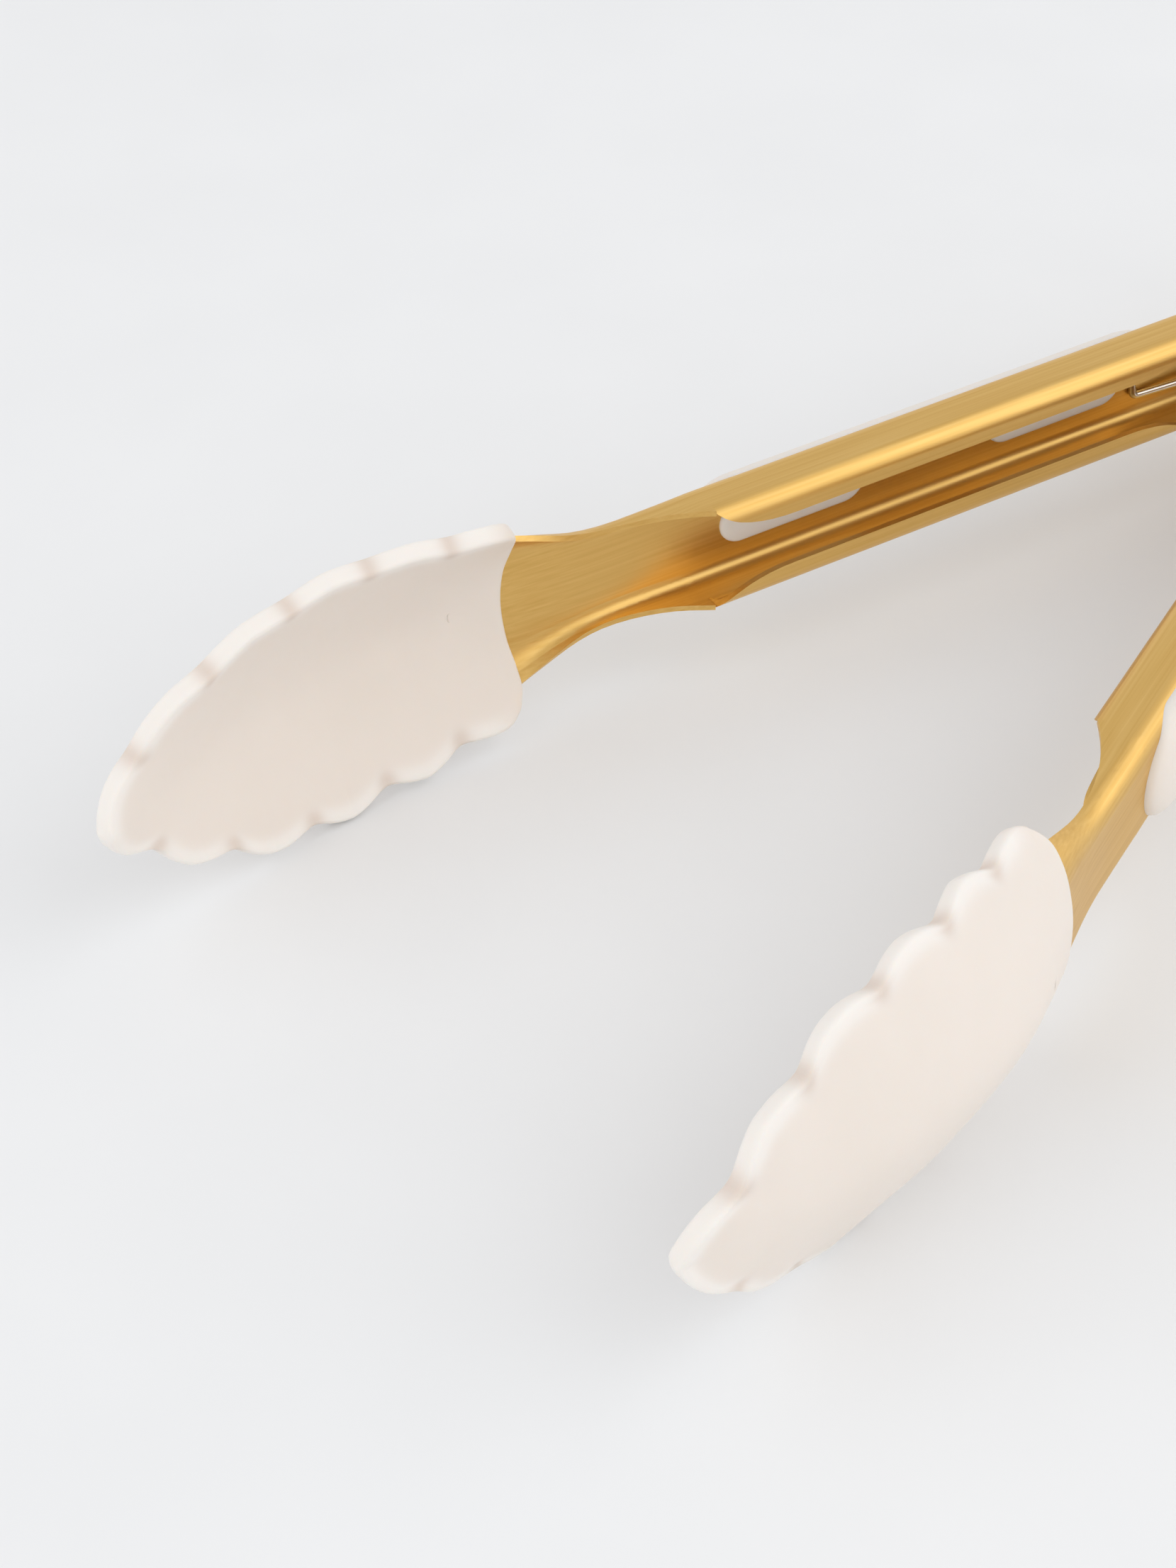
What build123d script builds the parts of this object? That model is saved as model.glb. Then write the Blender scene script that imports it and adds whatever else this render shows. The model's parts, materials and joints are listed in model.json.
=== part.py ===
"""Kitchen and ice tongs: two stamped C-section arms on one rivet, held open by a torsion spring.

The tongs lie on their side, open. +Z is the rivet's axis, the heads point to -X and the
hanging tab to +X. The outer arm is on the +Y side, and the inner arm on the -Y side nests
between the outer arm's ears.

Each arm is drawn in its own arm frame: x runs from the rivet to the head, y points inward
to the other arm, and z is the rivet's axis. The web is the arm's outer wall.
"""
from math import cos, radians, sin
import os

from build123d import *

# ---- driving dimensions, in millimetres and degrees ----
SHEET = 0.8            # stamped sheet
THROUGH = 60.0         # long enough for a cutter to pass right through any piece
HALF_OPENING = 14.7    # angle between each arm and the middle, fully open
ARM_LENGTH = 205.8     # rivet to the tip of the silicone head

# arm channel
HALF_WIDTH = 8.0       # half the channel's width
WEB_OUT = -8.0         # outer face of the web
LIP_OUT = 0.1          # top face of the inturned lips
CORNER = 2.4           # outer radius between web and flange
LIP_CORNER = 2.4       # outer radius between flange and lip
MOUTH_HALF = 4.08      # half the gap between the two lips
LIP_START = 26.0       # rivet end of the lips
LIP_END = 116.0        # head end of the lips, where they run out in a cusp
LIP_RUNOUT = 12.0      # length over which a lip narrows to nothing
CUSP_START = 0.45      # how the lip's edge curves as it runs out: shares of that length
CUSP_END = 0.15
CUSP_RISE = 1.6        # and how steeply it meets the flange
LEAST_FLAT = 0.2       # shortest straight run in a section, and rounding of a cut edge

# slots for the grip's bosses
SLOT_HALF_WIDTH = 3.35
SLOT_LENGTH = 23.3
SLOT_CENTRES = (55.95, 99.85)

# grips
GRIP_START = 38.0
GRIP_END = 116.6
GRIP_HALF_WIDTH = 7.7
GRIP_RISE = 2.3        # how far a grip stands above the web
BOSS_RISE = 0.5        # how far a boss stands above the web's inner face
BOSS_ROOT = 0.4        # how far a boss reaches back into the pad
DOME_EASE = 1.5        # flattens the dome, so that its long edges keep a little height

# rivet and ears
RIVET_RADIUS = 2.0
BORE_RADIUS = 2.05
RIVET_HEAD_RADIUS = 4.6
RIVET_HEAD_HEIGHT = 1.7
FACE_GAP = 0.1         # between faces that slide on each other
EAR_BLEND = 3.0        # where the ear's round edge meets the flange's sloping edge
TAIL_RISE = 3.2        # height of the flange at the web's tail
EAR_RADIUS = 5.7       # clears the rounded corner of the other arm's web
WEB_TAIL = 8.0         # the web runs this far past the rivet
NEST = SHEET + FACE_GAP        # how far the inner arm's ears are set in
JOGGLE_START = 27.0
JOGGLE_END = 36.0

# lock: each flange has a hooked notch, and the slide's lugs enter the hooks
NOTCH_MOUTH = (17.2, 21.2)
NOTCH_DEPTH = 3.9
HOOK_ROOT = 12.4
HOOK_THICKNESS = 1.2
LUG_INNER = 1.85
LUG_OUTER = 2.85
LUG_LENGTH = 2.2
SLIDE_FRONT = -20.3
SLIDE_TRAVEL = 5.6
NOSE_HALF_HEIGHT = 2.85
NOSE_END = -9.5        # the slide is narrower in front of here
SLIDE_HALF_HEIGHT = 3.85  # the webs' tails rest on this when the arms are open
SLIDE_SIDE_OUT = 6.1   # outer face of the slide's side plates
SLIDE_FOLD = (13.0, 20.0)  # where the side plates bend together into the tab
TAB_SHOULDER = (18.0, 24.0)  # where the tab widens
TAIL_END = 36.0
TAIL_HALF_HEIGHT = 6.5
HANG_HOLE_RADIUS = 2.75
HANG_HOLE_X = 29.0

# spring
WIRE = 1.1
COIL_MEAN_RADIUS = 3.0
COIL_PITCH = 1.22
COIL_TURNS = 3.5
LEG_REACH = 42.0       # from the rivet to the leg's end on the web
LEG_HOOK = 2.2         # the leg's end turned up along the rivet's axis
LEG_WRAP = 120         # degrees that a leg's own turn goes round the rivet
LEG_GAP = 0.25         # between the coil and a leg's turn
LEG_BEND = 0.9         # radius of the leg's bend before its end

# silicone head
COVER_THICKNESS = 2.5  # through silicone, metal and silicone
METAL_TRIM = 2.2       # from the silicone rim back to the metal's edge
METAL_TIP = 195.0      # the metal stops short of the silicone tip
NOTCH_RADIUS = 1.9     # the groove that parts two lobes of the rim
NOTCH_OFFSETS = {-1: 1.4, 1: 2.2}  # rim to groove axis: one side is scalloped deeper
SCALLOPS = (153.4, 164.9, 177.0, 189.4, 200.1)   # where the rim's notches are


def arc_section(x, flat, radius, angle, flange, bottom, thickness):
    """U-shaped section at x: a flat web, two arcs and two straight flanges, as a face."""
    turn = radians(angle)

    def side(inset):
        r = radius - inset
        w = bottom + inset
        start = (w, flat)
        middle = (w + r * (1 - cos(turn / 2)), flat + r * sin(turn / 2))
        end = (w + r * (1 - cos(turn)), flat + r * sin(turn))
        tip = (end[0] + flange * sin(turn), end[1] + flange * cos(turn))
        return start, middle, end, tip

    def flip(point):
        return (point[0], -point[1])

    outer = side(0)
    inner = side(thickness)
    plane = Plane(origin=(x, 0, 0), x_dir=(0, 1, 0), z_dir=(1, 0, 0))
    edges = [
        Line(flip(outer[0]), outer[0]),
        ThreePointArc(outer[0], outer[1], outer[2]),
        Line(outer[2], outer[3]),
        Line(outer[3], inner[3]),
        Line(inner[3], inner[2]),
        ThreePointArc(inner[2], inner[1], inner[0]),
        Line(inner[0], flip(inner[0])),
        ThreePointArc(flip(inner[0]), flip(inner[1]), flip(inner[2])),
        Line(flip(inner[2]), flip(inner[3])),
        Line(flip(inner[3]), flip(outer[3])),
        Line(flip(outer[3]), flip(outer[2])),
        ThreePointArc(flip(outer[2]), flip(outer[1]), flip(outer[0])),
    ]
    return plane * make_face(edges)


# outer face of the metal: x, half width at the edge, edge height, bottom, corner radius, flange angle
NECK_STATIONS = (
    (116.0, 8.00, -0.90, -8.0, 2.4, 90),
    (118.5, 7.95, -2.30, -8.0, 2.4, 90),
    (121.5, 7.85, -3.60, -8.0, 2.4, 90),
    (126.0, 7.80, -4.80, -8.0, 2.4, 88),
    (131.0, 7.95, -5.35, -8.0, 2.4, 84),
    (136.0, 9.10, -5.45, -8.2, 2.8, 72),
    (140.5, 10.9, -5.40, -8.5, 4.0, 60),
    (144.5, 12.6, -5.20, -9.0, 6.0, 52),
)
# middle of the head's wall: x, half width at the rim, rim height, floor, radius, rim angle
HEAD_STATIONS = (
    (142.8, 12.9, -2.9, -8.3, 9.0, 42),
    (146.0, 14.8, -2.5, -9.2, 9.5, 40),
    (150.0, 16.0, -2.0, -9.9, 10.5, 37),
    (158.0, 17.4, -1.6, -10.6, 12.0, 36),
    (171.0, 18.4, -0.7, -8.7, 13.0, 33),
    (177.0, 18.0, 0.1, -7.0, 13.5, 31),
    (183.0, 17.0, 1.1, -5.1, 14.0, 29),
    (193.0, 12.9, 2.6, -0.7, 13.0, 23),
    (200.0, 7.6, 3.5, 2.9, 12.0, 12),
    (204.0, 3.9, 5.1, 4.9, 8.0, 9),
    (205.6, 1.8, 5.9, 5.8, 3.0, 8),
)


def offset_station(station, out, trim):
    """A station moved outward from the wall's middle, its flange cut back by trim."""
    x, half, edge, bottom, radius, angle = station
    turn = radians(angle)
    new_half = half + out * sin(turn) - trim * cos(turn)
    new_edge = edge - out * cos(turn) - trim * sin(turn)
    return x, new_half, new_edge, bottom - out, radius + out, angle


def station_face(station, thickness):
    """The U-shaped section of one station, its flange ending at the given edge."""
    x, half, edge, bottom, radius, angle = station
    turn = radians(angle)
    flange = max((edge - bottom - radius * (1 - cos(turn))) / sin(turn), LEAST_FLAT)
    flat = max(half - radius * sin(turn) - flange * cos(turn), LEAST_FLAT)
    return arc_section(x, flat, radius, angle, flange, bottom, thickness)


def across(x_points):
    """A side profile in the x-y plane, given as points, extruded right across the arm."""
    return extrude(make_face(Polyline(*x_points, close=True)), amount=THROUGH / 2, both=True)


def cylinder_z(radius, height, x=0, y=0, z=0):
    """A cylinder along the rivet's axis, centred at x, y, z."""
    return Pos(x, y, z) * Cylinder(radius, height)


def box_between(low, high):
    """A box between two corners."""
    size = [b - a for a, b in zip(low, high)]
    centre = [(a + b) / 2 for a, b in zip(low, high)]
    return Pos(*centre) * Box(*size)


# ---- arm: lipped channel, pivot end, neck and head, in the arm frame ----
def rounded_outline(half_width, bottom, top, bottom_radius, top_radius):
    """A rectangle in the section plane with one radius below and another above, as a face."""
    outline = Rectangle(top - bottom, 2 * half_width)
    outline = Pos((top + bottom) / 2, 0) * outline
    by_height = outline.vertices().sort_by(Axis.X)
    outline = fillet(by_height[:2], bottom_radius)
    by_height = outline.vertices().sort_by(Axis.X)
    return fillet(by_height[-2:], top_radius)


def section_plane(x):
    """The plane across the arm at x: its first axis points inward, its second along z."""
    return Plane(origin=(x, 0, 0), x_dir=(0, 1, 0), z_dir=(1, 0, 0))


def lipped_channel(start, end):
    """The C-section channel between two places along the arm."""
    outer = rounded_outline(HALF_WIDTH, WEB_OUT, LIP_OUT, CORNER, LIP_CORNER)
    inner = rounded_outline(
        HALF_WIDTH - SHEET, WEB_OUT + SHEET, LIP_OUT - SHEET, CORNER - SHEET, LIP_CORNER - SHEET
    )
    mouth = Pos(LIP_OUT, 0) * Rectangle(3 * SHEET, 2 * MOUTH_HALF)
    section = section_plane(start) * (outer - inner - mouth)
    return extrude(section, amount=end - start)


def lip_runout(end, direction):
    """The space a lip leaves as it narrows to nothing towards an end: a curved wedge."""
    reach = LIP_RUNOUT * direction
    edge = HALF_WIDTH - SHEET / 2
    with BuildSketch(Plane.XZ.offset(-LIP_OUT - 1)) as wedge:
        with BuildLine():
            curve = Bezier(
                (end - reach, MOUTH_HALF),
                (end - CUSP_START * reach, MOUTH_HALF),
                (end - CUSP_END * reach, edge - CUSP_RISE),
                (end, edge),
            )
            Polyline(curve @ 1, (end, -edge))
            mirrored = Bezier(
                (end, -edge),
                (end - CUSP_END * reach, -edge + CUSP_RISE),
                (end - CUSP_START * reach, -MOUTH_HALF),
                (end - reach, -MOUTH_HALF),
            )
            Line(mirrored @ 1, curve @ 0)
        make_face()
    return extrude(wedge.sketch, amount=1 + LIP_CORNER + SHEET / 2)


def slot_cutter(centre):
    """The slot's shape through the web: straight sides and round ends."""
    straight = SLOT_LENGTH - 2 * SLOT_HALF_WIDTH
    block = Pos(centre, WEB_OUT, 0) * Box(straight, 4 * SHEET, 2 * SLOT_HALF_WIDTH)
    for side in (-1, 1):
        end = Pos(centre + side * straight / 2, WEB_OUT, 0) * Rot(90, 0, 0)
        block += end * Cylinder(SLOT_HALF_WIDTH, 4 * SHEET)
    return block


def flange_profile():
    """Side view of the pivot end: the ear round the rivet, the tail and the hooked notch."""
    top = LIP_OUT
    ear = extrude(Circle(EAR_RADIUS), amount=THROUGH / 2, both=True)
    body = across((
        (-WEB_TAIL, WEB_OUT), (JOGGLE_END, WEB_OUT), (JOGGLE_END, top), (EAR_BLEND, top),
        (0.0, EAR_RADIUS), (-EAR_RADIUS, 0.0), (-WEB_TAIL, WEB_OUT + TAIL_RISE),
    ))
    return ear + body


def notch():
    """The notch in a flange's edge, with its hook: an upright mouth and a pocket behind it."""
    low = LIP_OUT - NOTCH_DEPTH
    side = THROUGH / 2
    mouth = box_between((NOTCH_MOUTH[0], low, -side), (NOTCH_MOUTH[1], EAR_RADIUS, side))
    pocket = box_between((HOOK_ROOT, low, -side), (NOTCH_MOUTH[1], LIP_OUT - HOOK_THICKNESS, side))
    return mouth + pocket


def pivot_end(half_width):
    """The arm's end at the rivet: a U-section with ears, of the given half width."""
    top = EAR_RADIUS + 1
    section = rounded_outline(half_width, WEB_OUT, top, CORNER, LEAST_FLAT)
    hollow = rounded_outline(
        half_width - SHEET, WEB_OUT + SHEET, 2 * top, CORNER - SHEET, LEAST_FLAT
    )
    channel = extrude(section_plane(-WEB_TAIL) * (section - hollow), amount=WEB_TAIL + JOGGLE_START)
    end = channel & flange_profile()
    end -= notch()
    return end - cylinder_z(BORE_RADIUS, THROUGH)


def joggle(from_half_width):
    """The channel from the ears to the full width: plain flanges that splay outward."""
    faces = []
    for x, half in ((JOGGLE_START, from_half_width), (JOGGLE_END, HALF_WIDTH)):
        faces.append(plain_u(x, half))
    return loft(faces, ruled=True)


def plain_u(x, half_width):
    """A U-section at x with upright flanges up to the lips' underside."""
    flange = LIP_OUT - LIP_CORNER / 2 - WEB_OUT - CORNER
    return arc_section(x, half_width - CORNER, CORNER, 90, flange, WEB_OUT, SHEET)


def head_and_neck():
    """The neck, where the flanges dip and the web widens, and the dished head."""
    neck = loft([station_face(s, SHEET) for s in NECK_STATIONS])
    inside = [s for s in HEAD_STATIONS[:-2] if s[0] > NECK_STATIONS[-1][0]]
    stations = [NECK_STATIONS[-1]] + [offset_station(s, SHEET / 2, METAL_TRIM) for s in inside]
    head = loft([station_face(s, SHEET) for s in stations])
    head -= box_between((METAL_TIP, -THROUGH, -THROUGH), (ARM_LENGTH, THROUGH, THROUGH))
    return neck + head


def arm(ear_half_width):
    """One stamped arm, whose ears have the given half width over their outer faces."""
    channel = lipped_channel(JOGGLE_END, LIP_END)
    channel -= lip_runout(LIP_END, 1)
    channel -= lip_runout(JOGGLE_END, -1)
    for centre in SLOT_CENTRES:
        channel -= slot_cutter(centre)
    blank = channel + head_and_neck() + pivot_end(ear_half_width)
    return blank + joggle(ear_half_width)


# ---- silicone pieces, in the arm frame ----
def head_cover(metal):
    """The silicone sleeve over the head: a thick dish with scalloped sides, over the metal."""
    wall = COVER_THICKNESS / 2
    stations = [offset_station(s, wall, 0) for s in HEAD_STATIONS]
    dish = loft([station_face(s, COVER_THICKNESS) for s in stations])
    for x in SCALLOPS:
        for side in (-1, 1):
            dish -= scallop(x, side)
    return dish - metal


def scallop(x, side):
    """The groove across the rim that parts two lobes."""
    half = rim_half_width(x)
    return Pos(x, 0, side * (half + NOTCH_OFFSETS[side])) * Rot(90, 0, 0) * Cylinder(NOTCH_RADIUS, THROUGH)


def rim_half_width(x):
    """The cover's half width at x, between its stations."""
    for left, right in zip(HEAD_STATIONS, HEAD_STATIONS[1:]):
        if left[0] <= x <= right[0]:
            share = (x - left[0]) / (right[0] - left[0])
            return left[1] + share * (right[1] - left[1])
    return 0.0


def grip():
    """The grip: a domed pad on the web's outside, with a boss through each slot."""
    half = GRIP_HALF_WIDTH
    length = GRIP_END - GRIP_START
    centre = (GRIP_END + GRIP_START) / 2
    top = WEB_OUT - GRIP_RISE
    plane = Plane(origin=(centre, top, 0), x_dir=(1, 0, 0), z_dir=(0, 1, 0))
    plan = extrude(plane * RectangleRounded(length, 2 * half, half - LEAST_FLAT), amount=2 * GRIP_RISE)
    radius = (half**2 + GRIP_RISE**2) / (2 * GRIP_RISE) + DOME_EASE
    dome = Pos(centre, top + radius, 0) * Rot(0, 90, 0) * Cylinder(radius, 2 * length)
    pad = plan & dome
    pad -= box_between((0, WEB_OUT + CORNER / 2, -half - 1), (ARM_LENGTH, HALF_WIDTH, half + 1))
    channel = rounded_outline(HALF_WIDTH, WEB_OUT, LIP_OUT, CORNER, LIP_CORNER)
    pad -= extrude(section_plane(0) * channel, amount=ARM_LENGTH)
    for slot_centre in SLOT_CENTRES:
        pad += boss(slot_centre)
    return pad


def boss(centre):
    """The boss that fills one slot and stands a little proud inside the channel."""
    straight = SLOT_LENGTH - 2 * SLOT_HALF_WIDTH
    depth = SHEET + BOSS_RISE + BOSS_ROOT
    middle = WEB_OUT - BOSS_ROOT + depth / 2
    block = Pos(centre, middle, 0) * Box(straight, depth, 2 * SLOT_HALF_WIDTH)
    for side in (-1, 1):
        end = Pos(centre + side * straight / 2, middle, 0) * Rot(90, 0, 0)
        block += end * Cylinder(SLOT_HALF_WIDTH, depth)
    return block


# ---- pivot, spring and lock, in the tongs' frame with the rivet at x = y = 0 ----
def rivet():
    """The rivet: a shank through both arms' ears with a domed head at each end."""
    grip_length = 2 * (HALF_WIDTH + FACE_GAP)
    body = cylinder_z(RIVET_RADIUS, grip_length)
    dome_radius = (RIVET_HEAD_RADIUS**2 + RIVET_HEAD_HEIGHT**2) / (2 * RIVET_HEAD_HEIGHT)
    ball = Pos(0, 0, grip_length / 2 + RIVET_HEAD_HEIGHT - dome_radius) * Sphere(dome_radius)
    reach = 2 * RIVET_HEAD_RADIUS
    head = ball & box_between((-reach, -reach, grip_length / 2), (reach, reach, grip_length))
    return body + head + mirror(head, Plane.XY)


def coil():
    """The spring's coil round the rivet, as a helix of round wire."""
    height = COIL_PITCH * COIL_TURNS
    path = Pos(0, 0, -height / 2) * Helix(COIL_PITCH, height, COIL_MEAN_RADIUS)
    start = path @ 0
    section = Plane(origin=start, z_dir=path % 0) * Circle(WIRE / 2)
    return sweep(section, path=path, is_frenet=True)


def spring_leg():
    """One leg in the arm frame: part of a turn beside the coil, then straight to the web."""
    level = -(COIL_PITCH * COIL_TURNS / 2 + WIRE + LEG_GAP)
    rest = WEB_OUT + SHEET + WIRE / 2
    arc = CenterArc((0, 0, level), COIL_MEAN_RADIUS, 270 - LEG_WRAP, LEG_WRAP)
    begin = arc @ 1
    far = Vector(LEG_REACH, rest, level)
    end = far + Vector(0.3, 0, LEG_HOOK)
    path = FilletPolyline(begin, far, end, radius=LEG_BEND)
    wire = Wire([arc.edge()] + list(path.edges()))
    section = Plane(origin=arc @ 0, z_dir=arc % 0) * Circle(WIRE / 2)
    return sweep(section, path=wire, transition=Transition.ROUND)


def slide_side():
    """One side plate of the slide, bent in towards the tab, as tall as a cutter is long."""
    inner = SLIDE_SIDE_OUT - SHEET
    fold_start, fold_end = SLIDE_FOLD
    thickening = SHEET / 2
    outline = Polyline(
        (SLIDE_FRONT, inner), (fold_start, inner), (fold_end, 0.0), (TAIL_END, 0.0),
        (TAIL_END, SHEET), (fold_end + thickening, SHEET), (fold_start + thickening, SLIDE_SIDE_OUT),
        (SLIDE_FRONT, SLIDE_SIDE_OUT), close=True,
    )
    return extrude(Plane.XZ.offset(-THROUGH / 2) * make_face(outline), amount=THROUGH)


def slide_plan():
    """The slide's outline seen along the rivet: a narrow nose, the body and the rounded tab."""
    shoulder_start, shoulder_end = TAB_SHOULDER
    nose_step = NOSE_END - 2
    upper = (
        (SLIDE_FRONT, NOSE_HALF_HEIGHT), (nose_step, NOSE_HALF_HEIGHT), (NOSE_END, SLIDE_HALF_HEIGHT),
        (shoulder_start, SLIDE_HALF_HEIGHT), (shoulder_end, TAIL_HALF_HEIGHT),
        (HANG_HOLE_X, TAIL_HALF_HEIGHT),
    )
    lower = tuple((x, -y) for x, y in reversed(upper))
    return across(upper + lower) + cylinder_z(TAIL_HALF_HEIGHT, THROUGH, x=HANG_HOLE_X)


def slide_lug(side_y, side_z):
    """One lug on the slide's nose, which a flange's hook holds when the slide is pulled."""
    inner = SLIDE_SIDE_OUT - SHEET
    low_z, high_z = sorted((side_z * inner, side_z * (HALF_WIDTH + SHEET)))
    low_y, high_y = sorted((side_y * LUG_INNER, side_y * LUG_OUTER))
    return box_between((SLIDE_FRONT, low_y, low_z), (SLIDE_FRONT + LUG_LENGTH, high_y, high_z))


def lock_slide():
    """The slide: two side plates on the rivet, folded together into a flat tab at the tail."""
    side = slide_side()
    body = (side + mirror(side, Plane.XY)) & slide_plan()
    half_slot = RIVET_RADIUS + FACE_GAP
    slot = box_between((-SLIDE_TRAVEL, -half_slot, -THROUGH), (0, half_slot, THROUGH))
    for x in (-SLIDE_TRAVEL, 0):
        slot += cylinder_z(half_slot, THROUGH, x=x)
    body -= slot
    body -= cylinder_z(HANG_HOLE_RADIUS, THROUGH, x=HANG_HOLE_X)
    for side_z in (-1, 1):
        for side_y in (-1, 1):
            body += slide_lug(side_y, side_z)
    return body


# ---- assembly ----
def placed(shape, arm_side):
    """An arm-frame shape where it stands open: arm_side is 1 for the outer arm, -1 inner."""
    if arm_side > 0:
        return Rot(0, 0, 180 - HALF_OPENING) * shape
    return Rot(0, 0, 180 + HALF_OPENING) * Rot(180, 0, 0) * shape


outer_arm = arm(HALF_WIDTH)
inner_arm = arm(HALF_WIDTH - NEST)
grip_shape = grip()
leg_shape = spring_leg()

nodes = {
    "arm_outer": placed(outer_arm, 1),
    "arm_inner": placed(inner_arm, -1),
    "head_cover_outer": placed(head_cover(outer_arm), 1),
    "head_cover_inner": placed(head_cover(inner_arm), -1),
    "grip_outer": placed(grip_shape, 1),
    "grip_inner": placed(grip_shape, -1),
    "spring_leg_outer": placed(leg_shape, 1),
    "spring_leg_inner": placed(leg_shape, -1),
    "spring_coil": coil(),
    "pivot_rivet": rivet(),
    "lock_slide": lock_slide(),
}

box = Compound(children=[Part() + s for s in nodes.values()]).bounding_box()
origin = Pos(-(box.min.X + box.max.X) / 2, -(box.min.Y + box.max.Y) / 2, -box.min.Z)
print("rivet axis at", round(origin.position.X, 4), round(origin.position.Y, 4))
print("middle plane at z", round(origin.position.Z, 4))

os.makedirs("parts", exist_ok=True)
for name, shape in nodes.items():
    export_step(origin * shape, f"parts/{name}.step")
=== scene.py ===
"""The looks of the tongs: silicone heads and grips, brushed gold sheet, spring wire, floor and light.

Everything is in metres in the row frame. Each arm's soft pieces are drawn in that arm's own frame, in
millimetres: u runs from the rivet towards the head, w inward to the other arm, and z along the rivet.
"""

import json
import math

import bmesh
import bpy
import numpy as np
from mathutils import Matrix, Vector


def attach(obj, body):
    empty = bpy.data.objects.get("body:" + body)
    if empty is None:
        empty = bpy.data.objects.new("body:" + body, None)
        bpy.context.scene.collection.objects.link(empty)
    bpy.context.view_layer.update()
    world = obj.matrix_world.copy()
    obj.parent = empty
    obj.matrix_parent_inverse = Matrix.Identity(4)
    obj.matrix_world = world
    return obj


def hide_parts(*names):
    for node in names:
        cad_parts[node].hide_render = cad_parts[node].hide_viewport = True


MM = 0.001

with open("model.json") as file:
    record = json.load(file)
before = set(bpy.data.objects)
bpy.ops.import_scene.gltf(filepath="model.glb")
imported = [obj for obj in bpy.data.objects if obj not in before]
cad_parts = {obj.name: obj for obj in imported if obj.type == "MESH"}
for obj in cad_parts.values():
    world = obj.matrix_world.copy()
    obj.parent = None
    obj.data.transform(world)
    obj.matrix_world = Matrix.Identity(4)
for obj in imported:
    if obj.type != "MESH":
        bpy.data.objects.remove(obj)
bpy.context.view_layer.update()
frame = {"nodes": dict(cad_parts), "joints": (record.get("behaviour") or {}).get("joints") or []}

# ---- the arms' frames ----
HALF_OPENING = math.radians(14.7)
hinge = next(j for j in frame["joints"] if j["name"] == "outer_arm_close")
RIVET = Vector(hinge["pos_m"])


def arm_matrix(side):
    """From an arm's frame, in millimetres, to the row frame.

    side is 1 for the outer arm and -1 for the inner.
    """
    along = Vector((-math.cos(HALF_OPENING), side * math.sin(HALF_OPENING), 0))
    inward = Vector((-math.sin(HALF_OPENING), -side * math.cos(HALF_OPENING), 0))
    up = along.cross(inward)
    turn = Matrix((along, inward, up)).transposed().to_4x4()
    return Matrix.Translation(RIVET) @ turn @ Matrix.Scale(MM, 4)


ARMS = {"outer": (1, "arm_a"), "inner": (-1, "arm_b")}


def face_outward(mesh):
    """Turns every face of a closed mesh to face out of the solid."""
    work = bmesh.new()
    work.from_mesh(mesh)
    bmesh.ops.recalc_face_normals(work, faces=work.faces)
    work.to_mesh(mesh)
    work.free()


def add_piece(name, points, faces, side, body, material, replaced, marks):
    """Makes one smooth mesh piece from arm-frame points and puts it on its body.

    marks are named values, one for each point, that the piece's material reads.
    """
    mesh = bpy.data.meshes.new(name)
    mesh.from_pydata([tuple(p) for p in points], [], faces)
    mesh.transform(arm_matrix(side))
    for mark, values in marks.items():
        mesh.attributes.new(mark, "FLOAT", "POINT").data.foreach_set("value", values)
    mesh.validate()
    face_outward(mesh)
    for polygon in mesh.polygons:
        polygon.use_smooth = True
    mesh.materials.append(material)
    piece = bpy.data.objects.new(name, mesh)
    bpy.context.scene.collection.objects.link(piece)
    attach(piece, body)
    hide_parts(replaced)


# ---- curves and closed slabs ----
CURVE_STEPS = 60
ARC_POINTS = 40
NEARLY_ZERO = 1e-9


def smooth(knots, x):
    """A smooth curve through (place, value) knots, read at x, without overshoot."""
    places = np.array([k[0] for k in knots], float)
    values = np.array([k[1] for k in knots], float)
    step = np.diff(places)
    slope = np.diff(values) / step
    tangent = np.zeros(len(places))
    tangent[0], tangent[-1] = slope[0], slope[-1]
    same = slope[:-1] * slope[1:] > 0
    inner = np.zeros(len(slope) - 1)
    inner[same] = 2 * slope[:-1][same] * slope[1:][same] / (slope[:-1][same] + slope[1:][same])
    tangent[1:-1] = inner
    x = np.clip(np.asarray(x, float), places[0], places[-1])
    i = np.clip(np.searchsorted(places, x, side="right") - 1, 0, len(step) - 1)
    t = (x - places[i]) / step[i]
    rise = (2 * t**3 - 3 * t**2 + 1) * values[i] + (3 * t**2 - 2 * t**3) * values[i + 1]
    lean = (t**3 - 2 * t**2 + t) * tangent[i] + (t**3 - t**2) * tangent[i + 1]
    return rise + lean * step[i]


def evenly(loop, count):
    """count evenly spaced points along a loop that ends where it starts, and the loop's length."""
    run = np.concatenate([[0], np.cumsum(np.linalg.norm(np.diff(loop, axis=0), axis=1))])
    even = np.linspace(0, run[-1], count, endpoint=False)
    return np.stack([np.interp(even, run, loop[:, i]) for i in range(2)], 1), run[-1]


def closed_curve(points, count):
    """count evenly spaced points on a closed Catmull-Rom curve through the points, and its length."""
    p = np.array(points, float)
    fine = []
    for k in range(len(p)):
        a, b, c, d = p[k - 1], p[k], p[(k + 1) % len(p)], p[(k + 2) % len(p)]
        t = np.linspace(0, 1, CURVE_STEPS, endpoint=False)[:, None]
        bend = (2 * a - 5 * b + 4 * c - d) * t**2 + (3 * b - a - 3 * c + d) * t**3
        fine.append(0.5 * (2 * b + (c - a) * t + bend))
    fine = np.concatenate(fine)
    return evenly(np.vstack([fine, fine[:1]]), count)


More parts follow.
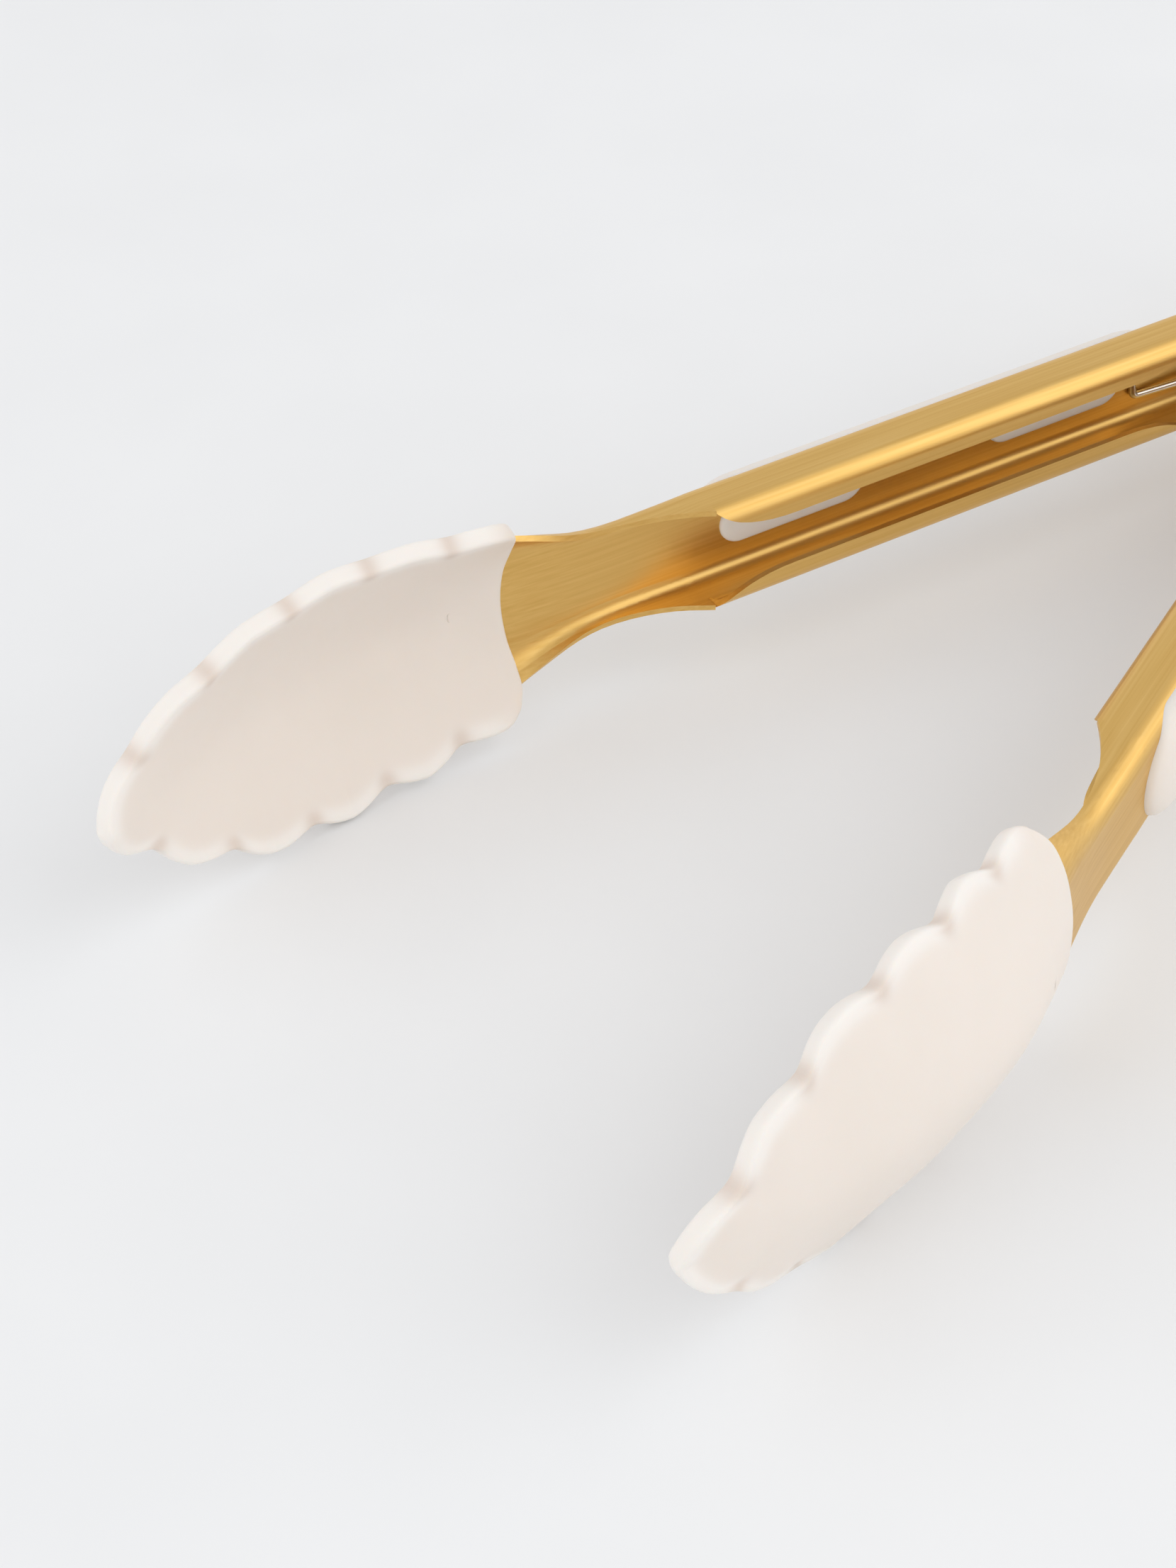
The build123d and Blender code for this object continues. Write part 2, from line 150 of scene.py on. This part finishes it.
def outward(loop):
    """Unit normals of a closed plan curve, pointing away from its middle."""
    run = np.roll(loop, -1, axis=0) - np.roll(loop, 1, axis=0)
    normal = np.stack([run[:, 1], -run[:, 0]], 1)
    normal /= np.linalg.norm(normal, axis=1)[:, None]
    away = np.sign(np.sum((loop - loop.mean(0)) * normal))
    return normal * away


def quads_between(rows, count):
    """Quad faces between successive closed rings of count points."""
    faces = []
    for row in range(rows - 1):
        for i in range(count):
            j = (i + 1) % count
            faces.append((row * count + i, row * count + j, (row + 1) * count + j, (row + 1) * count + i))
    return faces


def stadium(centre, length, half, count):
    """A plan loop with straight sides and round ends, evenly spaced."""
    straight = length / 2 - half
    angles = np.linspace(-math.pi / 2, math.pi / 2, ARC_POINTS)
    right = [(centre + straight + half * math.cos(a), half * math.sin(a)) for a in angles]
    left = [(2 * centre - u, -z) for u, z in right]
    points, _ = evenly(np.array(right + left + right[:1]), count)
    return points


def close_ends(points, faces, count):
    """Closes the slit that the first and the last ring leave along the spine."""
    last = len(points) - count
    for i in range(count // 2):
        j = count - 1 - i
        corners = dict.fromkeys((i, i + 1, j, (j + 1) % count))
        faces.append(tuple(corners))
        faces.append(tuple(last + k for k in corners))
    return points, faces


# ---- silicone heads ----
# The plan is (u, half width) points from the collar to the tip. The bowl's floor and rim are (u, height w)
# knots of the wall's middle surface, and its power says how sharply it turns up towards the rim.
TIP = 205.9
HEAD_PLAN = (
    (144.0, 0.0), (143.6, 5.0), (143.0, 9.0), (143.2, 12.5), (145.6, 15.4), (150.0, 16.7), (158.0, 18.15),
    (171.0, 19.15), (183.0, 17.7), (193.0, 13.6), (200.0, 8.7), (204.1, 4.6), (TIP, 0.0),
)
PLAN_SIDE = 4            # the plan's points from this one on follow the head's side
LEAST_HALF_WIDTH = 2.0
MOST_SHARE = 1.2
SCALLOPS = (153.4, 164.9, 177.0, 189.4, 200.1)
SCALLOP_DEPTH = {1: 0.7, -1: 1.35}     # by the sign of z
SCALLOP_REACH = 6.0
SCALLOP_ROUND = 0.9
BOWL_FLOOR = (
    (143, -8.8), (150, -9.9), (158, -10.6), (171, -8.7),
    (183, -5.1), (193, -0.7), (200, 3.0), (TIP, 6.8),
)
BOWL_RIM = (
    (143, -3.2), (148, -2.1), (153.4, -1.6), (164.9, -1.4),
    (177, 0.3), (189.4, 2.4), (200.1, 3.6), (TIP, 5.5),
)
BOWL_POWER = ((143, 2.45), (150, 1.85), (158, 1.57), (TIP, 1.57))
HEAD_HALF_THICKNESS = 1.25
RIM_ROUND = 1.1
# Each notch runs on as a shallow dimple in the wall's outside.
DIMPLE_DEPTH = 0.3
DIMPLE_REACH = 3.2
# Painted light makes the rim paler than the bowl and painted shade makes its creases darker, but not along
# the collar.
RIM_BAND = 1.0
CREASE_SHARPNESS = 5
COLLAR_END = 145.0
COLLAR_FADE = 4.0
# The wall is built of rings round this line along its middle.
SPINE = (152.0, 190.0)
HEAD_POINTS = 480
HEAD_RINGS = 30
HEAD_RING_EASE = 0.85
CAP_STEPS = 10
CAP_REACH_POWER = 0.5
CAP_LIFT_POWER = 0.6


def head_outline():
    """The scalloped plan outline, and how far each point is into a notch, from 0 to 1."""
    other_side = tuple((u, -z) for u, z in reversed(HEAD_PLAN[1:-1]))
    loop, length = closed_curve(HEAD_PLAN + other_side, HEAD_POINTS)
    spacing = length / HEAD_POINTS
    notch = np.zeros(HEAD_POINTS)
    depth = np.where(loop[:, 1] > 0, SCALLOP_DEPTH[1], SCALLOP_DEPTH[-1])
    for u in SCALLOPS:
        for side in (1, -1):
            beside = np.where(loop[:, 1] * side > 0, np.abs(loop[:, 0] - u), np.inf)
            middle = int(np.argmin(beside))
            away = np.abs(np.arange(HEAD_POINTS) - middle)
            away = np.minimum(away, HEAD_POINTS - away) * spacing
            away = np.sqrt(away**2 + SCALLOP_ROUND**2) - SCALLOP_ROUND
            notch = np.maximum(notch, np.clip(1 - away / SCALLOP_REACH, 0, 1) ** 2)
    return loop - outward(loop) * (depth * notch)[:, None], notch


def bowl_height(u, z, half):
    """The middle surface of the head's wall, over the plan."""
    share = np.clip(np.abs(z) / half, 0, MOST_SHARE)
    low = smooth(BOWL_FLOOR, u)
    return low + (smooth(BOWL_RIM, u) - low) * share ** smooth(BOWL_POWER, u)


def half_width(u):
    """The unscalloped half width of the head at u."""
    side = np.array(HEAD_PLAN[PLAN_SIDE:])
    return np.maximum(np.interp(u, side[:, 0], side[:, 1]), LEAST_HALF_WIDTH)


def head_middle(inset, spine, share):
    """Rings of points on the wall's middle surface, from the spine out to the rim."""
    rings = []
    for s in share:
        plan = spine + (inset - spine) * s
        height = bowl_height(plan[:, 0], plan[:, 1], half_width(plan[:, 0]))
        rings.append(np.stack([plan[:, 0], height, plan[:, 1]], 1))
    return np.array(rings)


def inward_normals(middle, across):
    """Unit normals of the middle surface, on the side of the other arm."""
    along = np.roll(middle, -1, axis=1) - np.roll(middle, 1, axis=1)
    normal = np.cross(along, across)
    normal[np.linalg.norm(normal, axis=2) < NEARLY_ZERO] = (0, 1, 0)
    normal /= np.linalg.norm(normal, axis=2)[:, :, None]
    normal *= np.sign(normal[:, :, 1:2] + NEARLY_ZERO)
    normal[0] = normal[1]
    return normal


def rim_cap(middle, across, normal):
    """Rings that round off the rim, from the inside to the outside."""
    edge = across - normal * np.sum(across * normal, axis=1)[:, None]
    edge /= np.linalg.norm(edge, axis=1)[:, None]
    cap = []
    for angle in np.linspace(90, -90, CAP_STEPS + 2)[1:-1]:
        c, s = math.cos(math.radians(angle)), math.sin(math.radians(angle))
        reach = RIM_ROUND * abs(c) ** CAP_REACH_POWER
        lift = HEAD_HALF_THICKNESS * math.copysign(abs(s) ** CAP_LIFT_POWER, s)
        cap.append(middle + edge * reach + normal * lift)
    return cap


def head_mesh():
    """The silicone head as one closed wall, with its marks for painted light on the rim and painted shade
    in the notch creases.
    """
    outline, notch = head_outline()
    spine = np.stack([np.clip(outline[:, 0], *SPINE), np.zeros(len(outline))], 1)
    inset = outline - outward(outline) * RIM_ROUND
    share = np.linspace(0, 1, HEAD_RINGS) ** HEAD_RING_EASE
    middle = head_middle(inset, spine, share)
    across = np.gradient(middle, axis=0)
    normal = inward_normals(middle, across)
    from_rim = (1 - share)[:, None] * np.linalg.norm(inset - spine, axis=1)
    dimple = DIMPLE_DEPTH * notch * np.exp(-((from_rim / DIMPLE_REACH) ** 2))
    inside = middle + normal * HEAD_HALF_THICKNESS
    outside = middle - normal * (HEAD_HALF_THICKNESS - dimple)[:, :, None]
    rows = list(inside[1:]) + rim_cap(middle[-1], across[-1], normal[-1]) + list(outside[:0:-1])
    faces = quads_between(len(rows), HEAD_POINTS)
    # These marks paint light near the rim and paint shade in the notch creases.
    near_rim = np.exp(-((from_rim / RIM_BAND) ** 2))
    rim = np.concatenate([near_rim[1:], np.ones((CAP_STEPS, HEAD_POINTS)), near_rim[:0:-1]])
    rim *= np.clip((outline[:, 0] - COLLAR_END) / COLLAR_FADE, 0, 1)
    marks = {"rim": rim.ravel(), "crease": (rim * notch**CREASE_SHARPNESS).ravel()}
    return *close_ends(np.concatenate(rows), faces, HEAD_POINTS), marks


# ---- silicone grips ----
# The arm's sheet that the pad sits on, the pad itself, and the bosses that come through the arm's slots.
WEB_OUT = -8.0
WEB_CORNER = 2.4
WEB_TURN = 0.999         # how much of the corner's quarter turn the pad can follow
ARM_HALF_WIDTH = 8.0
SHEET = 0.8
GRIP = (38.0, 116.6)
GRIP_HALF_WIDTH = 7.7
GRIP_RISE = 2.3
GRIP_LEAST_RISE = 0.02
GRIP_FLATNESS = 3.2
GRIP_EDGE_ROUND = 0.55
SEATED = 0.1
GRIP_POINTS = 320
GRIP_RINGS = 22
GRIP_RING_EASE = 0.8
SLOT_CENTRES = (55.95, 99.85)
SLOT_LENGTH = 23.3
SLOT_HALF_WIDTH = 3.35
BOSS_RISE = 0.5
BOSS_SINK = 0.3
BOSS_TOP = ((0.0, -0.35), (0.1, -0.12), (0.4, 0.0), (1.6, 0.08))     # inset, height from the top
BOSS_POINTS = 120


def web_surface(z):
    """The web's outer face, rounded off towards the flanges."""
    past = np.clip(np.abs(z) - (ARM_HALF_WIDTH - WEB_CORNER), 0, WEB_CORNER * WEB_TURN)
    return WEB_OUT + WEB_CORNER - np.sqrt(WEB_CORNER**2 - past**2)


def grip_mesh():
    """The pad on the web's outside, as one closed crowned form that follows the rounded web."""
    start, end = GRIP
    loop = stadium((start + end) / 2, end - start, GRIP_HALF_WIDTH, GRIP_POINTS)
    middle = np.clip(loop[:, 0], start + GRIP_HALF_WIDTH, end - GRIP_HALF_WIDTH)
    spine = np.stack([middle, np.zeros(GRIP_POINTS)], 1)
    share = np.linspace(0, 1, GRIP_RINGS + 1)[1:] ** GRIP_RING_EASE
    crown = GRIP_LEAST_RISE + GRIP_RISE * (1 - share**GRIP_FLATNESS) ** GRIP_EDGE_ROUND
    over = list(zip(share, -crown))
    under = [(s, SEATED) for s in share[::-1]]
    rows = []
    for s, lift in over + under:
        plan = spine + (loop - spine) * s
        rows.append(np.stack([plan[:, 0], web_surface(plan[:, 1]) + lift, plan[:, 1]], 1))
    faces = quads_between(len(rows), GRIP_POINTS)
    return close_ends(np.concatenate(rows), faces, GRIP_POINTS)


def boss_mesh(centre):
    """One boss through a slot: a stadium with a softly rounded top inside the channel."""
    top = WEB_OUT + SHEET + BOSS_RISE
    rows = []
    for inset, w in [(0.0, WEB_OUT - BOSS_SINK)] + [(inset, top + rise) for inset, rise in BOSS_TOP]:
        loop = stadium(centre, SLOT_LENGTH - 2 * inset, SLOT_HALF_WIDTH - inset, BOSS_POINTS)
        rows.append(np.stack([loop[:, 0], np.full(BOSS_POINTS, w), loop[:, 1]], 1))
    points = np.concatenate(rows)
    faces = quads_between(len(rows), BOSS_POINTS)
    faces.append(tuple(reversed(range(BOSS_POINTS))))
    faces.append(tuple(range(len(points) - BOSS_POINTS, len(points))))
    return points, faces


def join_meshes(parts):
    """Several (points, faces) lists as one."""
    points, faces, start = [], [], 0
    for p, f in parts:
        points.append(np.asarray(p))
        faces += [tuple(start + i for i in face) for face in f]
        start += len(p)
    return np.concatenate(points), faces


# ---- materials ----
# The colour sockets of a Mix node, which share their names with its other sockets.
MIX_A, MIX_B, MIX_RESULT = 6, 7, 2


class Nodes:
    """A short way to build one node material."""

    def __init__(self, name):
        self.material = bpy.data.materials.new(name)
        self.material.use_nodes = True
        self.tree = self.material.node_tree
        self.shader = self.tree.nodes["Principled BSDF"]

    def add(self, kind, links=None, **settings):
        """A node with its settings, whose named sockets are fed by the linked outputs."""
        node = self.tree.nodes.new(kind)
        for name, value in settings.items():
            setattr(node, name, value)
        for socket, source in (links or {}).items():
            self.link(source, node.inputs[socket])
        return node

    def link(self, source, socket):
        self.tree.links.new(source, socket)

    def ramp(self, source, stops):
        """A colour ramp with (place, colour) stops."""
        node = self.add("ShaderNodeValToRGB", {"Fac": source})
        elements = node.color_ramp.elements
        while len(elements) < len(stops):
            elements.new(0.5)
        for element, (place, colour) in zip(elements, stops):
            element.position = place
            element.color = (*colour, 1)
        return node.outputs["Color"]

    def range(self, source, low, high, from_low=0.0, from_high=1.0):
        """Maps a value onto another range."""
        node = self.add("ShaderNodeMapRange", {"Value": source})
        node.inputs["From Min"].default_value = from_low
        node.inputs["From Max"].default_value = from_high
        node.inputs["To Min"].default_value = low
        node.inputs["To Max"].default_value = high
        return node.outputs["Result"]

    def noise(self, vector, scale, detail=2.0, roughness=0.5):
        node = self.add("ShaderNodeTexNoise", {"Vector": vector})
        node.inputs["Scale"].default_value = scale
        node.inputs["Detail"].default_value = detail
        node.inputs["Roughness"].default_value = roughness
        return node.outputs["Fac"]

    def marked(self, colour, mark, other):
        """Turns a colour into another one where a mesh's own mark is 1."""
        mask = self.add("ShaderNodeAttribute", attribute_name=mark).outputs["Fac"]
        return self.mixed(mask, colour, other)

    def mixed(self, mask, colour, other):
        """The colour where the mask is 0 and the other, plain colour where it is 1."""
        mix = self.add("ShaderNodeMix", {0: mask, MIX_A: colour}, data_type="RGBA")
        mix.inputs[MIX_B].default_value = (*other, 1)
        return mix.outputs[MIX_RESULT]

    def bump(self, height, strength, distance, below=None):
        node = self.add("ShaderNodeBump", {"Height": height})
        node.inputs["Strength"].default_value = strength
        node.inputs["Distance"].default_value = distance
        if below is not None:
            self.link(below, node.inputs["Normal"])
        return node.outputs["Normal"]


GRAIN_STRETCH = (90, 6000, 6000)
GRAIN_DETAIL, GRAIN_ROUGHNESS = 3.0, 0.6
GRAIN_BUMP = (0.12, 0.00004)
STREAK_STRETCH = (36, 2400, 2400)
CLOUD_SCALE = 45.0
GOLD_STOPS = ((0.25, (0.70, 0.43, 0.125)), (0.5, (0.745, 0.475, 0.15)), (0.75, (0.79, 0.52, 0.18)))
GOLD_ROUGHNESS = (0.32, 0.46)
GRAIN_AND_CLOUD = (0.6, 1.4)


def brushed_gold(name, angle):
    """Brushed gold-coated steel whose grain runs along the direction at this angle about the rivet."""
    m = Nodes(name)
    place = m.add("ShaderNodeTexCoord").outputs["Object"]
    turned = m.add("ShaderNodeMapping", {"Vector": place}, vector_type="POINT")
    turned.inputs["Rotation"].default_value = (0, 0, angle)
    stretched = m.add("ShaderNodeMapping", {"Vector": turned.outputs["Vector"]})
    stretched.inputs["Scale"].default_value = GRAIN_STRETCH
    grain = m.noise(stretched.outputs["Vector"], 1.0, GRAIN_DETAIL, GRAIN_ROUGHNESS)
    streaked = m.add("ShaderNodeMapping", {"Vector": turned.outputs["Vector"]})
    streaked.inputs["Scale"].default_value = STREAK_STRETCH
    streaks = m.noise(streaked.outputs["Vector"], 1.0)
    cloud = m.noise(place, CLOUD_SCALE)
    m.link(m.ramp(streaks, GOLD_STOPS), m.shader.inputs["Base Color"])
    mixed = m.add("ShaderNodeMath", {0: grain, 1: cloud}, operation="ADD").outputs["Value"]
    m.link(m.range(mixed, *GOLD_ROUGHNESS, *GRAIN_AND_CLOUD), m.shader.inputs["Roughness"])
    m.shader.inputs["Metallic"].default_value = 1.0
    m.link(m.bump(grain, *GRAIN_BUMP), m.shader.inputs["Normal"])
    return m.material


CREAM = (0.785, 0.715, 0.65)
CREAM_DEEP = (0.765, 0.695, 0.625)
# Painted light: the paler cream laid on the rim and on the bosses.
RIM_PAINTED_LIGHT = (0.83, 0.79, 0.745)
# Painted shade: the darker cream laid in the notch creases.
CREASE_PAINTED_SHADE = (0.70, 0.61, 0.54)
MOTTLE_SCALE, MOTTLE_DETAIL, MOTTLE_ROUGHNESS = 60.0, 3.0, 0.55
SPECK_SPACING = 260.0
SPECK_SIZE = (0.03, 0.09)
SPECK_PATCHES = 120.0
SPECK_SHARE = (0.66, 0.70)
SPECK_COLOUR = (0.42, 0.36, 0.30)
PORE_SCALE = 1800.0
PORE_BUMP = (0.15, 0.00005)
DENT_SCALE = 140.0
DENT_BUMP = (0.25, 0.0002)
SILICONE_ROUGHNESS = (0.46, 0.62)
SUBSURFACE_WEIGHT = 0.25
SUBSURFACE_RADIUS = (1.0, 0.7, 0.5)
SUBSURFACE_SCALE = 0.002
SHEEN_WEIGHT = 0.08


def silicone(name):
    """Matte cream silicone with faint mottling, tiny specks and a satin skin, painted light on the marked
    rim and bosses, and painted shade in the marked creases.
    """
    m = Nodes(name)
    place = m.add("ShaderNodeTexCoord").outputs["Object"]
    mottle = m.noise(place, MOTTLE_SCALE, MOTTLE_DETAIL, MOTTLE_ROUGHNESS)
    colour = m.ramp(mottle, ((0.3, CREAM_DEEP), (0.7, CREAM)))
    cells = m.add("ShaderNodeTexVoronoi", {"Vector": place})
    cells.inputs["Scale"].default_value = SPECK_SPACING
    rare = m.noise(place, SPECK_PATCHES, 1.0)
    near = m.range(cells.outputs["Distance"], 1.0, 0.0, *SPECK_SIZE)
    few = m.range(rare, 0.0, 1.0, *SPECK_SHARE)
    speck = m.add("ShaderNodeMath", {0: near, 1: few}, operation="MULTIPLY").outputs["Value"]
    # Painted light on the rim and the bosses, then painted shade in the notch creases, both read from the
    # meshes' marks.
    with_rim_painted_light = m.marked(m.mixed(speck, colour, SPECK_COLOUR), "rim", RIM_PAINTED_LIGHT)
    m.link(m.marked(with_rim_painted_light, "crease", CREASE_PAINTED_SHADE), m.shader.inputs["Base Color"])
    pores = m.noise(place, PORE_SCALE)
    m.link(m.range(pores, *SILICONE_ROUGHNESS), m.shader.inputs["Roughness"])
    m.shader.inputs["Subsurface Weight"].default_value = SUBSURFACE_WEIGHT
    m.shader.inputs["Subsurface Radius"].default_value = SUBSURFACE_RADIUS
    m.shader.inputs["Subsurface Scale"].default_value = SUBSURFACE_SCALE
    m.shader.inputs["Sheen Weight"].default_value = SHEEN_WEIGHT
    dents = m.bump(m.noise(place, DENT_SCALE), *DENT_BUMP)
    m.link(m.bump(pores, *PORE_BUMP, dents), m.shader.inputs["Normal"])
    return m.material


WIRE_LINES = 2400.0
WIRE_TONES = 300.0
WIRE_STOPS = ((0.3, (0.55, 0.50, 0.44)), (0.7, (0.72, 0.68, 0.62)))
WIRE_ROUGHNESS = (0.16, 0.30)
WIRE_BUMP = (0.08, 0.00003)


def spring_steel():
    """Bright drawn wire with fine draw lines."""
    m = Nodes("spring_steel")
    place = m.add("ShaderNodeTexCoord").outputs["Object"]
    lines = m.noise(place, WIRE_LINES)
    m.link(m.ramp(m.noise(place, WIRE_TONES), WIRE_STOPS), m.shader.inputs["Base Color"])
    m.link(m.range(lines, *WIRE_ROUGHNESS), m.shader.inputs["Roughness"])
    m.shader.inputs["Metallic"].default_value = 1.0
    m.link(m.bump(lines, *WIRE_BUMP), m.shader.inputs["Normal"])
    return m.material


GRAIN_ANGLE = {"outer": HALF_OPENING, "inner": -HALF_OPENING}
cream = silicone("silicone_cream")
gold = {name: brushed_gold(f"gold_{name}", angle) for name, angle in GRAIN_ANGLE.items()}
gold["middle"] = brushed_gold("gold_middle", 0.0)
steel = spring_steel()


def paint(node, material):
    """Gives a CAD node one material."""
    mesh = frame["nodes"][node].data
    mesh.materials.clear()
    mesh.materials.append(material)


for arm_name, (arm_side, arm_body) in ARMS.items():
    points, faces, head_marks = head_mesh()
    add_piece(
        f"silicone_head_{arm_name}", points, faces, arm_side, arm_body,
        cream, f"head_cover_{arm_name}", head_marks,
    )
    pad_points, pad_faces = grip_mesh()
    points, faces = join_meshes([(pad_points, pad_faces)] + [boss_mesh(c) for c in SLOT_CENTRES])
    # The bosses carry the rim mark, which paints them paler as painted light inside the channel's shade.
    in_boss = np.arange(len(points)) >= len(pad_points)
    add_piece(
        f"silicone_grip_{arm_name}", points, faces, arm_side, arm_body,
        cream, f"grip_{arm_name}", {"rim": in_boss.astype(float)},
    )
    paint(f"arm_{arm_name}", gold[arm_name])
    paint(f"spring_leg_{arm_name}", steel)
paint("spring_coil", steel)
paint("pivot_rivet", gold["middle"])
paint("lock_slide", gold["middle"])


# ---- floor, lights, camera and surroundings ----
FLOOR_SIZE = 8.0
PAPER_SCALE = 30.0
PAPER_STOPS = ((0.3, (0.81, 0.815, 0.82)), (0.7, (0.825, 0.83, 0.835)))
PAPER_ROUGHNESS = 0.9
PAPER_SPECULAR = 0.1


def add_floor():
    """A pale seamless floor under the tongs."""
    bpy.ops.mesh.primitive_plane_add(size=FLOOR_SIZE, location=(0, 0, 0))
    floor = bpy.context.object
    floor.name = "floor"
    m = Nodes("floor_paper")
    place = m.add("ShaderNodeTexCoord").outputs["Object"]
    m.link(m.ramp(m.noise(place, PAPER_SCALE), PAPER_STOPS), m.shader.inputs["Base Color"])
    m.shader.inputs["Roughness"].default_value = PAPER_ROUGHNESS
    m.shader.inputs["Specular IOR Level"].default_value = PAPER_SPECULAR
    floor.data.materials.append(m.material)


# Each light's place in metres, side in metres and power in watts.
LIGHTS = {
    "key": ((-0.9, 0.55, 0.75), 1.6, 4.5),
    "fill": ((-0.6, -0.95, 0.5), 1.4, 2.5),
    "front": ((0.7, -0.75, 0.85), 1.5, 6.0),
}


def add_light(name, place, side, power):
    """A soft square light aimed at the middle of the floor."""
    data = bpy.data.lights.new(name, "AREA")
    data.shape = "SQUARE"
    data.size = side
    data.energy = power
    light = bpy.data.objects.new(name, data)
    light.location = place
    light.rotation_mode = "QUATERNION"
    light.rotation_quaternion = (-Vector(place)).to_track_quat("-Z", "Y")
    bpy.context.scene.collection.objects.link(light)


# The camera's angles are in radians, its distance and aim in metres from the rivet.
CAMERA_AZIMUTH = -0.7723
CAMERA_ELEVATION = 0.7176
CAMERA_ROLL = -0.0266
CAMERA_DISTANCE = 0.3320
CAMERA_AIM = Vector((-0.1549, 0.01135, 0.0))
LENS_OVER_LONG_SIDE = 3938.9 / 2212
SENSOR = 36.0
CLIP = (0.01, 50)


def add_camera():
    """The camera at the photograph's angle, aimed at a point given from the rivet."""
    cos_e, sin_e = math.cos(CAMERA_ELEVATION), math.sin(CAMERA_ELEVATION)
    back = Vector((math.sin(CAMERA_AZIMUTH) * cos_e, -math.cos(CAMERA_AZIMUTH) * cos_e, sin_e))
    level = Vector((0, 0, 1)).cross(back).normalized()
    upright = back.cross(level)
    cos_r, sin_r = math.cos(CAMERA_ROLL), math.sin(CAMERA_ROLL)
    right = cos_r * level + sin_r * upright
    up = -sin_r * level + cos_r * upright
    data = bpy.data.cameras.new("camera")
    data.sensor_width = SENSOR
    data.lens = SENSOR * LENS_OVER_LONG_SIDE
    data.clip_start, data.clip_end = CLIP
    camera = bpy.data.objects.new("camera", data)
    turn = Matrix((right, up, back)).transposed().to_4x4()
    camera.matrix_world = Matrix.Translation(RIVET + CAMERA_AIM + back * CAMERA_DISTANCE) @ turn
    bpy.context.scene.collection.objects.link(camera)
    bpy.context.scene.camera = camera


HORIZON = (1.0, 1.0, 1.0)
OVERHEAD = (0.66, 0.665, 0.68)
SURROUNDINGS_STRENGTH = 0.97


def studio_world():
    """Soft white surroundings, brighter towards the horizon than overhead."""
    world = bpy.data.worlds.new("studio")
    world.use_nodes = True
    tree = world.node_tree
    background = tree.nodes["Background"]
    place = tree.nodes.new("ShaderNodeTexCoord")
    parts = tree.nodes.new("ShaderNodeSeparateXYZ")
    ramp = tree.nodes.new("ShaderNodeValToRGB")
    tree.links.new(place.outputs["Generated"], parts.inputs["Vector"])
    tree.links.new(parts.outputs["Z"], ramp.inputs["Fac"])
    tree.links.new(ramp.outputs["Color"], background.inputs["Color"])
    horizon, overhead = ramp.color_ramp.elements
    horizon.color = (*HORIZON, 1)
    overhead.color = (*OVERHEAD, 1)
    background.inputs["Strength"].default_value = SURROUNDINGS_STRENGTH
    return world


add_floor()
for light_name, (light_place, light_side, light_power) in LIGHTS.items():
    add_light(light_name, light_place, light_side, light_power)
add_camera()
bpy.context.scene.world = studio_world()
bpy.context.scene.view_settings.view_transform = "Standard"
